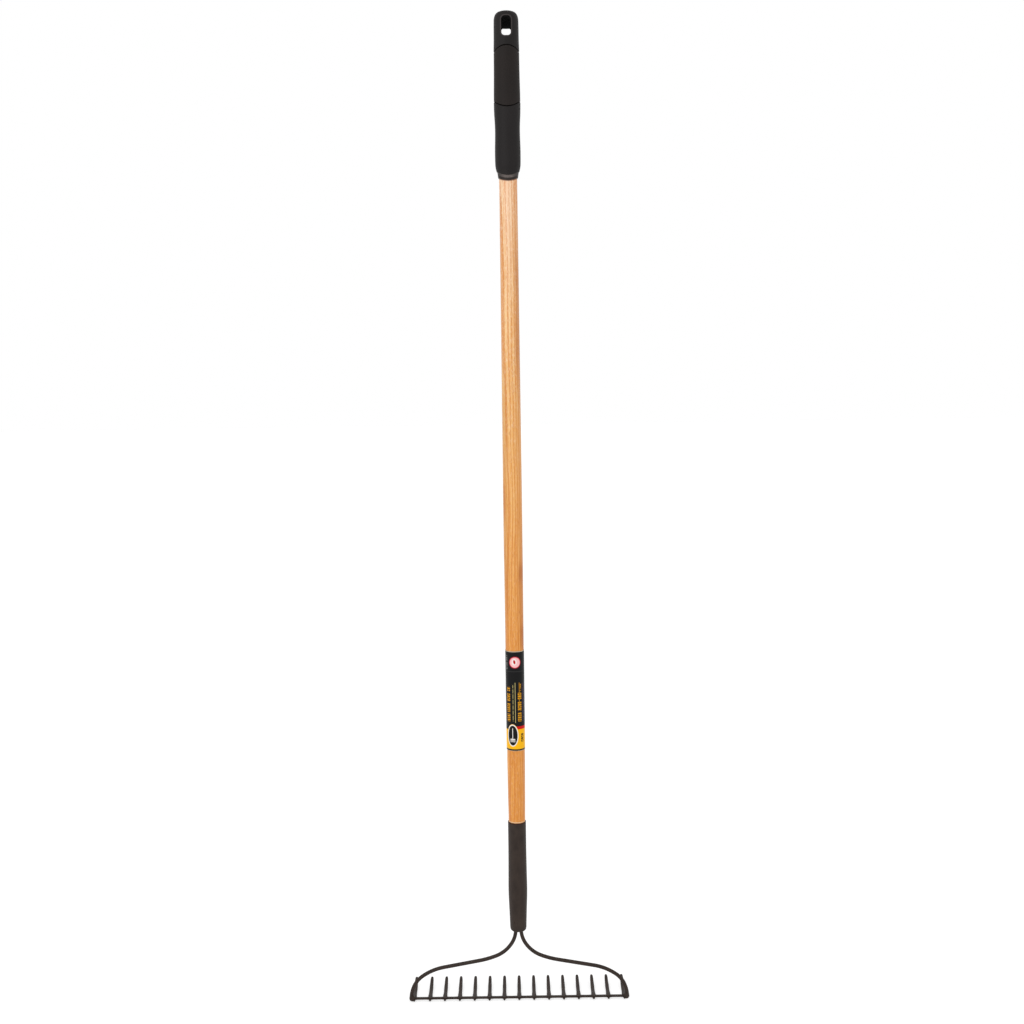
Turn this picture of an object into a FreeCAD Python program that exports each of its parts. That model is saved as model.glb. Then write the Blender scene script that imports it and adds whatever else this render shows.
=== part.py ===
import FreeCAD, Part
import math
import os
import Sketcher

# Steel bow rake: a wooden shaft with a moulded end grip, a ferrule, two bow rods and a straight toothed head.
# Millimetres. +Z runs up the shaft, +X along the head, and the tines point to +Y.
# Levels in the sheet are heights above a datum plane through the foot of the head; the head bar's centreline
# is a little above it. The part's origin is the centre of the hanging slot in the grip, so every piece is
# placed down by hang_height.

doc = FreeCAD.newDocument("BowRake")
sizes = doc.addObject("Spreadsheet::Sheet", "Sizes")
value = {}


def put(alias, number):
    """One driving dimension: a plain number in the sheet under an alias."""
    cell = "B%d" % (len(value) + 1)
    sizes.set("A%d" % (len(value) + 1), alias)
    sizes.set(cell, str(number))
    sizes.setAlias(cell, alias)
    value[alias] = float(number)


# Frame and head
put("hang_height", 1603.3)
put("bar_level", 2.3)
put("tine_count", 15)
put("tine_pitch", 25.4)
put("end_tine_reach", 179.5)
put("bar_half_length", 182)
put("bar_height", 3.0)
put("bar_depth", 4.0)
put("tine_notch_length", 12)
put("tine_corner_share", 0.24)

# Tine sections from the rear stub to the tip: distance in front of the bar, centre height, width, height
TINE = [
    ("stub_end", -6.6, -1.45, 2.4, 1.9),
    ("stub", -4.0, -1.25, 3.6, 3.2),
    ("root", 2.5, -1.00, 6.5, 4.6),
    ("calf", 19.0, -1.55, 6.4, 4.4),
    ("middle", 36.5, -0.30, 6.3, 4.0),
    ("neck", 52.0, 2.25, 5.7, 3.6),
    ("point", 63.2, 4.95, 4.8, 3.0),
    ("tip", 66.6, 5.95, 3.4, 2.0),
]
for name, ahead, lift, width, height in TINE:
    put("tine_%s_ahead" % name, ahead)
    put("tine_%s_lift" % name, lift)
    put("tine_%s_width" % name, width)
    put("tine_%s_height" % name, height)

# Bow rods: round bar along a path of straight runs joined by arcs
put("rod_radius", 3.175)
put("tang_reach", 4.5)
put("tang_top_level", 236)
put("bend_entry_level", 107.9)
put("bend_entry_radius", 46)
put("bend_shoulder_reach", 24.3)
put("bend_shoulder_level", 81.65)
put("bend_shoulder_radius", 56)
put("bend_spread_reach", 54.2)
put("bend_spread_level", 70.8)
put("bend_spread_radius", 150)
put("bend_outer_reach", 145.9)
put("bend_outer_level", 54.1)
put("bend_outer_radius", 90)
put("bend_corner_reach", 174.5)
put("bend_corner_level", 35.6)
put("bend_corner_radius", 44)
put("bend_drop_reach", 182.8)
put("bend_drop_level", 16.4)
put("bend_drop_radius", 50)
put("rod_foot_reach", 184.6)
put("rod_foot_level", 4.3)
put("boss_reach", 182.8)
put("boss_level", 3.4)
put("boss_radius", 5.0)
put("boss_depth", 8.6)
put("boss_round", 2.0)

# Wooden shaft: radius and level of each profile point, lower end first
SHAFT = [
    ("foot", 11.6, 126.0),
    ("foot_edge", 12.3, 128.0),
    ("swell", 13.5, 185.0),
    ("seat", 13.9, 250.0),
    ("shoulder", 13.9, 313.6),
    ("flare", 14.35, 350.0),
    ("label_low", 14.9, 420.0),
    ("label_high", 15.2, 620.0),
    ("belly_low", 15.5, 760.0),
    ("belly_high", 15.5, 880.0),
    ("upper", 15.15, 1010.0),
    ("upper_waist", 14.85, 1150.0),
    ("upper_neck", 14.6, 1290.0),
    ("grip_seat", 14.45, 1360.0),
    ("head_edge", 14.45, 1583.0),
    ("head", 13.45, 1584.0),
]
for name, radius, level in SHAFT:
    put("shaft_%s_radius" % name, radius)
    put("shaft_%s_level" % name, level)

# Ferrule: outside profile from the rolled lip up, then the inside back down
FERRULE = [
    ("lip", 9.6, 122.8),
    ("lip_round", 11.85, 123.1),
    ("lip_corner", 13.15, 124.6),
    ("toe", 13.8, 127.6),
    ("heel", 13.95, 132.0),
    ("cone", 14.2, 141.2),
    ("neck", 14.7, 155.3),
    ("haunch", 15.2, 169.3),
    ("bulge_low", 15.7, 182.0),
    ("bulge", 15.9, 193.0),
    ("bulge_high", 15.8, 206.0),
    ("upper_haunch", 15.6, 222.0),
    ("upper", 15.3, 246.6),
    ("straight", 15.13, 268.0),
    ("rim_edge", 15.1, 313.20000000000005),
    ("rim", 14.9, 313.6),
    ("rim_inside", 13.9, 313.6),
    ("bore_straight", 13.9, 250.0),
    ("bore_haunch", 14.3, 222.0),
    ("bore_bulge", 14.6, 193.0),
    ("bore_neck", 13.4, 155.3),
    ("bore_cone", 12.9, 141.2),
    ("bore_heel", 12.6, 132.0),
    ("bore_toe", 12.4, 127.0),
    ("bore_lip", 11, 124.3),
    ("lip_inside", 9.6, 124.0),
]
for name, radius, level in FERRULE:
    put("ferrule_%s_radius" % name, radius)
    put("ferrule_%s_level" % name, level)
put("pin_level", 138.6)
put("pin_radius", 1.1)
put("pin_inner_reach", 8.4)
put("pin_outer_reach", 14.4)
put("pin_head_radius", 2.2)
put("pin_head_inner_reach", 13.7)
put("pin_head_outer_reach", 14.6)
put("pin_bearing", 237)

# End grip: outside contour of the soft sleeve, lower edge first
SLEEVE = [
    ("hem", 17.6, 1372.0),
    ("hem_turn", 17.8, 1379.0),
    ("hem_round", 18.15, 1382.0),
    ("hem_side", 18.7, 1384.6),
    ("hem_top", 19.4, 1387.6),
    ("heel_low", 19.9, 1391.5),
    ("heel", 20.15, 1398.0),
    ("heel_high", 20.25, 1408.0),
    ("calf", 20.15, 1419.0),
    ("waist_low", 19.8, 1431.0),
    ("waist", 19.6, 1443.0),
    ("waist_high", 19.7, 1453.0),
    ("palm_low", 20.1, 1462.0),
    ("palm_rise", 20.55, 1470.0),
    ("palm", 20.85, 1480.0),
    ("palm_high", 20.9, 1492.0),
    ("back_low", 20.8, 1505.0),
    ("back", 20.5, 1521.0),
    ("back_high", 20.25, 1540.0),
    ("crown_low", 20.1, 1558.0),
    ("crown", 20.0, 1571.0),
    ("crown_high", 19.7, 1582.0),
    ("head_low", 19.55, 1596.0),
    ("head", 19.4, 1611.0),
    ("dome_edge", 19.05, 1617.5),
    ("dome_side", 18.0, 1621.6),
    ("dome_turn", 16.0, 1624.8),
    ("dome_high", 13.0, 1626.9),
    ("dome_crown", 8.5, 1628.2),
    ("dome_top", 4.0, 1628.6),
]
for name, radius, level in SLEEVE:
    put("sleeve_%s_radius" % name, radius)
    put("sleeve_%s_level" % name, level)
put("sleeve_top_level", 1628.7)

# Hard liner inside the sleeve, with the ring that shows below the hem
CORE = [
    ("ring_toe", 15.0, 1366.0),
    ("ring_round", 15.5, 1370.0),
    ("ring_side", 16.3, 1375.5),
    ("ring_top", 17.25, 1381.5),
    ("wall_top", 17.25, 1606.0),
    ("shoulder", 16.6, 1614.0),
    ("dome", 13.4, 1621.0),
    ("dome_high", 7.0, 1624.6),
]
for name, radius, level in CORE:
    put("core_%s_radius" % name, radius)
    put("core_%s_level" % name, level)
put("core_bottom_level", 1366)
put("core_top_level", 1625.6)
put("hem_apex_level", 1375)
put("ring_apex_level", 1367.3)
put("hem_tool_level", 1350)

# Hanging slot, through the grip from front to back, with a ceiling that slopes down to the back
put("slot_half_width", 7.4)
put("slot_half_height", 14.7)
put("slot_corner_radius", 5.4)
put("slot_lining", 1.6)
put("slot_reach", 30)
put("slot_ceiling_front", 18.1)
put("slot_ceiling_rear", -0.5)
put("slot_mouth_grow", 2.2)
put("slot_mouth_front", 20.4)
put("slot_mouth_back", 16.0)

# Inset band between the two curved grooves
put("band_seat_radius", 18.1)
put("band_top_level", 1573.4)
put("band_bottom_level", 1481.3)
put("band_arc_radius", 28)
put("groove_gap", 1.3)
put("band_half_span", 24)

# Printed film round the shaft
put("label_bottom_level", 438.6)
put("label_top_level", 607.1)
put("label_bottom_radius", 15.45)
put("label_top_radius", 15.7)

doc.recompute()


def placed(thing, across="0", level="0"):
    """Puts a piece drawn in heights above the datum, or above a level, into the part's frame."""
    thing.setExpression("Placement.Base.x", across)
    thing.setExpression("Placement.Base.z", level + " - Sizes.hang_height")
    return thing


def body_named(label):
    body = doc.addObject("PartDesign::Body", label)
    body.Label = label
    return body


def origin_plane(body, role):
    for feature in body.Origin.OriginFeatures:
        if feature.Role == role:
            return feature
    raise RuntimeError("no " + role)


def sketch_on(body, role, name):
    sketch = body.newObject("Sketcher::SketchObject", name)
    sketch.AttachmentSupport = (origin_plane(body, role), [""])
    sketch.MapMode = "FlatFace"
    return sketch


def bind(sketch, kind, first, second, number, expression):
    """A signed distance between two sketch points, driven by the sheet."""
    index = sketch.addConstraint(Sketcher.Constraint(kind, first[0], first[1], second[0], second[1], number))
    sketch.setExpression("Constraints[%d]" % index, expression)


def polygon(sketch, corners):
    """A closed outline. A corner is (x, y, expression of x, expression of y); no x expression means x is 0."""
    count = len(corners)
    lines = []
    for i in range(count):
        a = corners[i]
        b = corners[(i + 1) % count]
        start = FreeCAD.Vector(a[0], a[1], 0)
        end = FreeCAD.Vector(b[0], b[1], 0)
        lines.append(sketch.addGeometry(Part.LineSegment(start, end), False))
    for i in range(count):
        sketch.addConstraint(Sketcher.Constraint("Coincident", lines[i], 2, lines[(i + 1) % count], 1))
    for i in range(count):
        x, y, x_from, y_from = corners[i]
        if x_from is None:
            sketch.addConstraint(Sketcher.Constraint("PointOnObject", lines[i], 1, -2))
        else:
            bind(sketch, "DistanceX", (-1, 1), (lines[i], 1), x, x_from)
        bind(sketch, "DistanceY", (-1, 1), (lines[i], 1), y, y_from)


def profile_corner(stem, name):
    """The corner of a turned profile whose radius and level are in the sheet."""
    radius = "%s_%s_radius" % (stem, name)
    level = "%s_%s_level" % (stem, name)
    return (value[radius], value[level], "Sizes." + radius, "Sizes." + level)


def axis_corner(level):
    return (0.0, value[level], None, "Sizes." + level)


def turned(label, corners):
    """A body turned about the shaft's axis from a closed half profile."""
    body = body_named(label)
    sketch = sketch_on(body, "XZ_Plane", label + "_profile")
    polygon(sketch, corners)
    turn = body.newObject("PartDesign::Revolution", label + "_turn")
    turn.Profile = sketch
    turn.ReferenceAxis = (sketch, ["V_Axis"])
    turn.Angle = 360
    return placed(body)


def cut(label, base, tools):
    """Base less every tool."""
    result = base
    for i in range(len(tools)):
        step = doc.addObject("Part::Cut", "%s_cut_%d" % (label, i + 1))
        step.Base = result
        step.Tool = tools[i]
        result = step
    result.Label = label
    return result


parts = []

# The straight steel bar of the head
bar = body_named("head_bar")
bar_sketch = sketch_on(bar, "YZ_Plane", "bar_section")
half_depth = value["bar_depth"] / 2
half_height = value["bar_height"] / 2
bar_corners = []
for sy, sz in [(-1, -1), (1, -1), (1, 1), (-1, 1)]:
    y_from = "%d * Sizes.bar_depth / 2" % sy
    z_from = "%d * Sizes.bar_height / 2" % sz
    bar_corners.append((sy * half_depth, sz * half_height, y_from, z_from))
polygon(bar_sketch, bar_corners)
bar_pad = bar.newObject("PartDesign::Pad", "bar_pad")
bar_pad.Profile = bar_sketch
bar_pad.Midplane = True
bar_pad.setExpression("Length", "2 * Sizes.bar_half_length")
placed(bar, "0", "Sizes.bar_level")
parts.append(bar)

# One tine: a loft through eight-sided sections, notched from above to take the bar
master = body_named("tine_08")
sections = []
for name, ahead, lift, width, height in TINE:
    stem = "tine_" + name
    section = sketch_on(master, "XZ_Plane", stem + "_section")
    section.setExpression("AttachmentOffset.Base.z", "-Sizes.%s_ahead" % stem)
    share = value["tine_corner_share"]
    corners = []
    for i in range(8):
        sx = (1, 1, 1, -1, -1, -1, -1, 1)[i]
        sy = (-1, 1, 1, 1, 1, -1, -1, -1)[i]
        side = i in (0, 1, 4, 5)
        fx = 0.5 if side else 0.5 - share
        fy = 0.5 - share if side else 0.5
        fx_from = "0.5" if side else "(0.5 - Sizes.tine_corner_share)"
        fy_from = "(0.5 - Sizes.tine_corner_share)" if side else "0.5"
        x_from = "%d * %s * Sizes.%s_width" % (sx, fx_from, stem)
        y_from = "Sizes.%s_lift + %d * %s * Sizes.%s_height" % (stem, sy, fy_from, stem)
        corners.append((sx * fx * width, lift + sy * fy * height, x_from, y_from))
    polygon(section, corners)
    sections.append(section)
loft = master.newObject("PartDesign::AdditiveLoft", "tine_loft")
loft.Profile = sections[0]
loft.Sections = sections[1:]
loft.Ruled = False
notch_sketch = sketch_on(master, "YZ_Plane", "tine_notch_section")
notch_top = 2 * value["bar_height"]
notch_corners = []
for sy, low in [(-1, True), (1, True), (1, False), (-1, False)]:
    z = -half_height if low else notch_top
    z_from = "-Sizes.bar_height / 2" if low else "2 * Sizes.bar_height"
    notch_corners.append((sy * half_depth, z, "%d * Sizes.bar_depth / 2" % sy, z_from))
polygon(notch_sketch, notch_corners)
notch = master.newObject("PartDesign::Pocket", "tine_notch")
notch.Profile = notch_sketch
notch.Midplane = True
notch.setExpression("Length", "Sizes.tine_notch_length")
placed(master, "0", "Sizes.bar_level")
doc.recompute()
if notch.Shape.Volume > 0.97 * loft.Shape.Volume:
    raise RuntimeError("the notch for the bar cut nothing")

# The other tines are clones of it along the bar, the end ones a little further out than the pitch
tines = {}
middle = (int(value["tine_count"]) + 1) // 2
for number in range(1, int(value["tine_count"]) + 1):
    step = number - middle
    if step == 0:
        tines[number] = master
        continue
    tine = body_named("tine_%02d" % number)
    clone = tine.newObject("PartDesign::FeatureBase", "tine_%02d_clone" % number)
    clone.BaseFeature = master
    clone.setExpression("Placement.Base.z", "0")
    tine.Tip = clone
    if abs(step) == middle - 1:
        placed(tine, "%d * Sizes.end_tine_reach" % (1 if step > 0 else -1), "Sizes.bar_level")
    else:
        placed(tine, "%d * Sizes.tine_pitch" % step, "Sizes.bar_level")
    tines[number] = tine
for number in sorted(tines):
    parts.append(tines[number])


def bow_path(sketch, side):
    """Straight runs joined by tangent arcs, from the top of the tang to the foot of the rod."""
    points = [
        (value["tang_reach"], value["tang_top_level"], 0.0),
        (value["tang_reach"], value["bend_entry_level"], value["bend_entry_radius"]),
        (value["bend_shoulder_reach"], value["bend_shoulder_level"], value["bend_shoulder_radius"]),
        (value["bend_spread_reach"], value["bend_spread_level"], value["bend_spread_radius"]),
        (value["bend_outer_reach"], value["bend_outer_level"], value["bend_outer_radius"]),
        (value["bend_corner_reach"], value["bend_corner_level"], value["bend_corner_radius"]),
        (value["bend_drop_reach"], value["bend_drop_level"], value["bend_drop_radius"]),
        (value["rod_foot_reach"], value["rod_foot_level"], 0.0),
    ]
    here = FreeCAD.Vector(side * points[0][0], points[0][1], 0)
    edges = []
    for i in range(1, len(points)):
        corner = FreeCAD.Vector(side * points[i][0], points[i][1], 0)
        radius = points[i][2]
        if radius == 0.0:
            edges.append(sketch.addGeometry(Part.LineSegment(here, corner), False))
            break
        onward = FreeCAD.Vector(side * points[i + 1][0], points[i + 1][1], 0)
        back = (here - corner).normalize()
        ahead = (onward - corner).normalize()
        half = back.getAngle(ahead) / 2
        run = radius / math.tan(half)
        first = corner + back * run
        last = corner + ahead * run
        bisector = (back + ahead).normalize()
        crest = corner + bisector * (radius / math.sin(half) - radius)
        edges.append(sketch.addGeometry(Part.LineSegment(here, first), False))
        edges.append(sketch.addGeometry(Part.Arc(first, crest, last), False))
        here = last
    return len(edges)


def bow_rod(label, side):
    """A round rod swept along the bow, with the boss that takes the bar's end."""
    body = body_named(label + "_rod")
    path = sketch_on(body, "XZ_Plane", label + "_path")
    count = bow_path(path, side)
    section = sketch_on(body, "XY_Plane", label + "_section")
    section.setExpression("AttachmentOffset.Base.z", "Sizes.tang_top_level")
    centre = FreeCAD.Vector(side * value["tang_reach"], 0, 0)
    normal = FreeCAD.Vector(0, 0, 1)
    ring = section.addGeometry(Part.Circle(centre, normal, value["rod_radius"]), False)
    section.addConstraint(Sketcher.Constraint("PointOnObject", ring, 3, -1))
    bind(section, "DistanceX", (-1, 1), (ring, 3), centre.x, "%d * Sizes.tang_reach" % side)
    radius_at = section.addConstraint(Sketcher.Constraint("Radius", ring, value["rod_radius"]))
    section.setExpression("Constraints[%d]" % radius_at, "Sizes.rod_radius")
    pipe = body.newObject("PartDesign::AdditivePipe", label + "_pipe")
    pipe.Profile = section
    pipe.Spine = (path, ["Edge%d" % (i + 1) for i in range(count)])
    placed(body)
    boss = doc.addObject("Part::Cylinder", label + "_boss")
    boss.setExpression("Radius", "Sizes.boss_radius")
    boss.setExpression("Height", "Sizes.boss_depth")
    boss.Placement.Rotation = FreeCAD.Rotation(FreeCAD.Vector(1, 0, 0), -90)
    boss.setExpression("Placement.Base.x", "%d * Sizes.boss_reach" % side)
    boss.setExpression("Placement.Base.y", "-Sizes.boss_depth / 2")
    boss.setExpression("Placement.Base.z", "Sizes.boss_level - Sizes.hang_height")
    doc.recompute()
    rounded = doc.addObject("Part::Fillet", label + "_boss_round")
    rounded.Base = boss
    rims = []
    for i in range(len(boss.Shape.Edges)):
        if isinstance(boss.Shape.Edges[i].Curve, Part.Circle):
            rims.append((i + 1, value["boss_round"], value["boss_round"]))
    rounded.Edges = rims
    joined = doc.addObject("Part::Fuse", label + "_joined")
    joined.Base = body
    joined.Tool = rounded
    return joined


left_rod = bow_rod("left", -1)
right_rod = bow_rod("right", 1)
last_tine = tines[int(value["tine_count"])]
parts.append(cut("bow_arm_left", left_rod, [bar, tines[1]]))
parts.append(cut("bow_arm_right", right_rod, [bar, last_tine]))

# Ferrule and the nail that holds it on the wood
ferrule_tube = turned("ferrule_tube", [profile_corner("ferrule", entry[0]) for entry in FERRULE])


def pin_stage(label, radius, inner, outer):
    """A short cylinder lying along the nail's radial bearing."""
    stage = doc.addObject("Part::Cylinder", label)
    bearing = math.radians(value["pin_bearing"])
    outward = FreeCAD.Vector(math.cos(bearing), math.sin(bearing), 0)
    stage.Placement.Rotation = FreeCAD.Rotation(FreeCAD.Vector(0, 0, 1), outward)
    stage.setExpression("Radius", "Sizes." + radius)
    stage.setExpression("Height", "Sizes.%s - Sizes.%s" % (outer, inner))
    stage.setExpression("Placement.Base.x", "Sizes.%s * cos(Sizes.pin_bearing * 1 deg)" % inner)
    stage.setExpression("Placement.Base.y", "Sizes.%s * sin(Sizes.pin_bearing * 1 deg)" % inner)
    stage.setExpression("Placement.Base.z", "Sizes.pin_level - Sizes.hang_height")
    return stage


shank = pin_stage("pin_shank", "pin_radius", "pin_inner_reach", "pin_outer_reach")
head = pin_stage("pin_head", "pin_head_radius", "pin_head_inner_reach", "pin_head_outer_reach")
pin = doc.addObject("Part::Fuse", "ferrule_pin")
pin.Base = shank
pin.Tool = head
pin.Label = "ferrule_pin"
parts.append(pin)
parts.append(cut("ferrule", ferrule_tube, [pin]))

# Wooden shaft, bored for the two tangs and for the nail
shaft_corners = [axis_corner("shaft_foot_level")]
for entry in SHAFT:
    shaft_corners.append(profile_corner("shaft", entry[0]))
shaft_corners.append(axis_corner("shaft_head_level"))
shaft_blank = turned("shaft_blank", shaft_corners)
handle_shaft = cut("handle_shaft", shaft_blank, [left_rod, right_rod, pin])
parts.append(handle_shaft)

# Printed film: a thin cone less the shaft
label_corners = [
    axis_corner("label_bottom_level"),
    profile_corner("label", "bottom"),
    profile_corner("label", "top"),
    axis_corner("label_top_level"),
]
parts.append(cut("label", turned("label_film", label_corners), [shaft_blank]))


def rounded_box(sketch, growth):
    """The slot's outline: a rectangle with round corners about the origin. Growth widens it all round."""
    grow = value[growth] if growth else 0.0
    more = " + Sizes." + growth if growth else ""
    radius = value["slot_corner_radius"] + grow
    across = value["slot_half_width"] - value["slot_corner_radius"]
    up = value["slot_half_height"] - value["slot_corner_radius"]
    arcs = []
    lines = []
    for i in range(4):
        sx = (1, -1, -1, 1)[i]
        sy = (1, 1, -1, -1)[i]
        centre = FreeCAD.Vector(sx * across, sy * up, 0)
        circle = Part.Circle(centre, FreeCAD.Vector(0, 0, 1), radius)
        start = i * math.pi / 2
        arcs.append(sketch.addGeometry(Part.ArcOfCircle(circle, start, start + math.pi / 2), False))
    for i in range(4):
        sx = (1, -1, -1, 1)[i]
        sy = (1, 1, -1, -1)[i]
        tx = (1, -1, -1, 1)[(i + 1) % 4]
        ty = (1, 1, -1, -1)[(i + 1) % 4]
        lean = (i + 1) * math.pi / 2
        push = FreeCAD.Vector(math.cos(lean), math.sin(lean), 0) * radius
        first = FreeCAD.Vector(sx * across, sy * up, 0) + push
        last = FreeCAD.Vector(tx * across, ty * up, 0) + push
        lines.append(sketch.addGeometry(Part.LineSegment(first, last), False))
    for i in range(4):
        sketch.addConstraint(Sketcher.Constraint("Tangent", arcs[i], 2, lines[i], 1))
        sketch.addConstraint(Sketcher.Constraint("Tangent", lines[i], 2, arcs[(i + 1) % 4], 1))
    for i in range(4):
        sx = (1, -1, -1, 1)[i]
        sy = (1, 1, -1, -1)[i]
        x_from = "%d * (Sizes.slot_half_width - Sizes.slot_corner_radius)" % sx
        y_from = "%d * (Sizes.slot_half_height - Sizes.slot_corner_radius)" % sy
        bind(sketch, "DistanceX", (-1, 1), (arcs[i], 3), sx * across, x_from)
        bind(sketch, "DistanceY", (-1, 1), (arcs[i], 3), sy * up, y_from)
    for i in range(1, 4):
        sketch.addConstraint(Sketcher.Constraint("Equal", arcs[0], arcs[i]))
    radius_at = sketch.addConstraint(Sketcher.Constraint("Radius", arcs[0], radius))
    sketch.setExpression("Constraints[%d]" % radius_at, "Sizes.slot_corner_radius" + more)


def slot_prism(label, growth):
    """The slot's outline run through the grip from front to back."""
    prism = body_named(label)
    sketch = sketch_on(prism, "XZ_Plane", label + "_outline")
    rounded_box(sketch, growth)
    pad = prism.newObject("PartDesign::Pad", label + "_pad")
    pad.Profile = sketch
    pad.Midplane = True
    pad.setExpression("Length", "2 * Sizes.slot_reach")
    return prism


def hem_tool(label, apex):
    """What a round-cut lower edge takes away: everything below a bowl-shaped arc, run along Y."""
    tool = body_named(label)
    sketch = sketch_on(tool, "XZ_Plane", label + "_outline")
    radius = value["band_arc_radius"]
    span = value["band_half_span"]
    centre = value[apex] + radius
    lean = math.asin(span / radius)
    circle = Part.Circle(FreeCAD.Vector(0, centre, 0), FreeCAD.Vector(0, 0, 1), radius)
    bowl = sketch.addGeometry(Part.ArcOfCircle(circle, 1.5 * math.pi - lean, 1.5 * math.pi + lean), False)
    high = centre - radius * math.cos(lean)
    low = value["hem_tool_level"]
    corners = [(span, high), (span, low), (-span, low), (-span, high)]
    sides = []
    for i in range(3):
        start = FreeCAD.Vector(corners[i][0], corners[i][1], 0)
        end = FreeCAD.Vector(corners[i + 1][0], corners[i + 1][1], 0)
        sides.append(sketch.addGeometry(Part.LineSegment(start, end), False))
    sketch.addConstraint(Sketcher.Constraint("Coincident", bowl, 2, sides[0], 1))
    sketch.addConstraint(Sketcher.Constraint("Coincident", sides[0], 2, sides[1], 1))
    sketch.addConstraint(Sketcher.Constraint("Coincident", sides[1], 2, sides[2], 1))
    sketch.addConstraint(Sketcher.Constraint("Coincident", sides[2], 2, bowl, 1))
    sketch.addConstraint(Sketcher.Constraint("PointOnObject", bowl, 3, -2))
    radius_at = sketch.addConstraint(Sketcher.Constraint("Radius", bowl, radius))
    sketch.setExpression("Constraints[%d]" % radius_at, "Sizes.band_arc_radius")
    bind(sketch, "DistanceY", (-1, 1), (bowl, 3), centre, "Sizes.%s + Sizes.band_arc_radius" % apex)
    bind(sketch, "DistanceX", (-1, 1), (sides[0], 1), span, "Sizes.band_half_span")
    bind(sketch, "DistanceX", (-1, 1), (sides[0], 2), span, "Sizes.band_half_span")
    bind(sketch, "DistanceY", (-1, 1), (sides[0], 2), low, "Sizes.hem_tool_level")
    bind(sketch, "DistanceX", (-1, 1), (sides[2], 2), -span, "-Sizes.band_half_span")
    bind(sketch, "DistanceX", (-1, 1), (sides[2], 1), -span, "-Sizes.band_half_span")
    bind(sketch, "DistanceY", (-1, 1), (sides[2], 1), low, "Sizes.hem_tool_level")
    pad = tool.newObject("PartDesign::Pad", label + "_pad")
    pad.Profile = sketch
    pad.Midplane = True
    pad.setExpression("Length", "2 * Sizes.slot_reach")
    return placed(tool)


# The liner's own slot is larger by the thickness of the soft lining
core_slot = slot_prism("core_slot", "slot_lining")
core_corners = [axis_corner("core_bottom_level")]
for entry in CORE:
    core_corners.append(profile_corner("core", entry[0]))
core_corners.append(axis_corner("core_top_level"))
core_plug = cut("core_plug", turned("core_blank", core_corners), [core_slot])
ring_edge = hem_tool("ring_edge", "ring_apex_level")
parts.append(cut("grip_core", core_plug, [shaft_blank, ring_edge]))

# The hanging slot: the outline below a ceiling that slopes down to the back, and a flared front mouth
slot_run = slot_prism("slot_run", None)
ceiling = body_named("slot_ceiling")
ceiling_sketch = sketch_on(ceiling, "YZ_Plane", "slot_ceiling_section")
reach = value["slot_reach"]
floor_level = -2 * value["slot_half_height"]
floor_from = "-2 * Sizes.slot_half_height"
polygon(ceiling_sketch, [
    (-reach, floor_level, "-Sizes.slot_reach", floor_from),
    (reach, floor_level, "Sizes.slot_reach", floor_from),
    (reach, value["slot_ceiling_rear"], "Sizes.slot_reach", "Sizes.slot_ceiling_rear"),
    (-reach, value["slot_ceiling_front"], "-Sizes.slot_reach", "Sizes.slot_ceiling_front"),
])
ceiling_pad = ceiling.newObject("PartDesign::Pad", "slot_ceiling_pad")
ceiling_pad.Profile = ceiling_sketch
ceiling_pad.Midplane = True
ceiling_pad.setExpression("Length", "4 * Sizes.slot_half_width")
hanging_slot = doc.addObject("Part::Common", "hanging_slot")
hanging_slot.Base = slot_run
hanging_slot.Tool = ceiling
mouth = body_named("slot_mouth")
mouth_front = sketch_on(mouth, "XZ_Plane", "slot_mouth_front")
mouth_front.setExpression("AttachmentOffset.Base.z", "Sizes.slot_mouth_front")
rounded_box(mouth_front, "slot_mouth_grow")
mouth_back = sketch_on(mouth, "XZ_Plane", "slot_mouth_back")
mouth_back.setExpression("AttachmentOffset.Base.z", "Sizes.slot_mouth_back")
rounded_box(mouth_back, None)
mouth_loft = mouth.newObject("PartDesign::AdditiveLoft", "slot_mouth_loft")
mouth_loft.Profile = mouth_front
mouth_loft.Sections = [mouth_back]
mouth_loft.Ruled = True

sleeve_corners = [axis_corner("sleeve_hem_level")]
for entry in SLEEVE:
    sleeve_corners.append(profile_corner("sleeve", entry[0]))
sleeve_corners.append(axis_corner("sleeve_top_level"))
sleeve_blank = turned("sleeve_blank", sleeve_corners)


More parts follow.
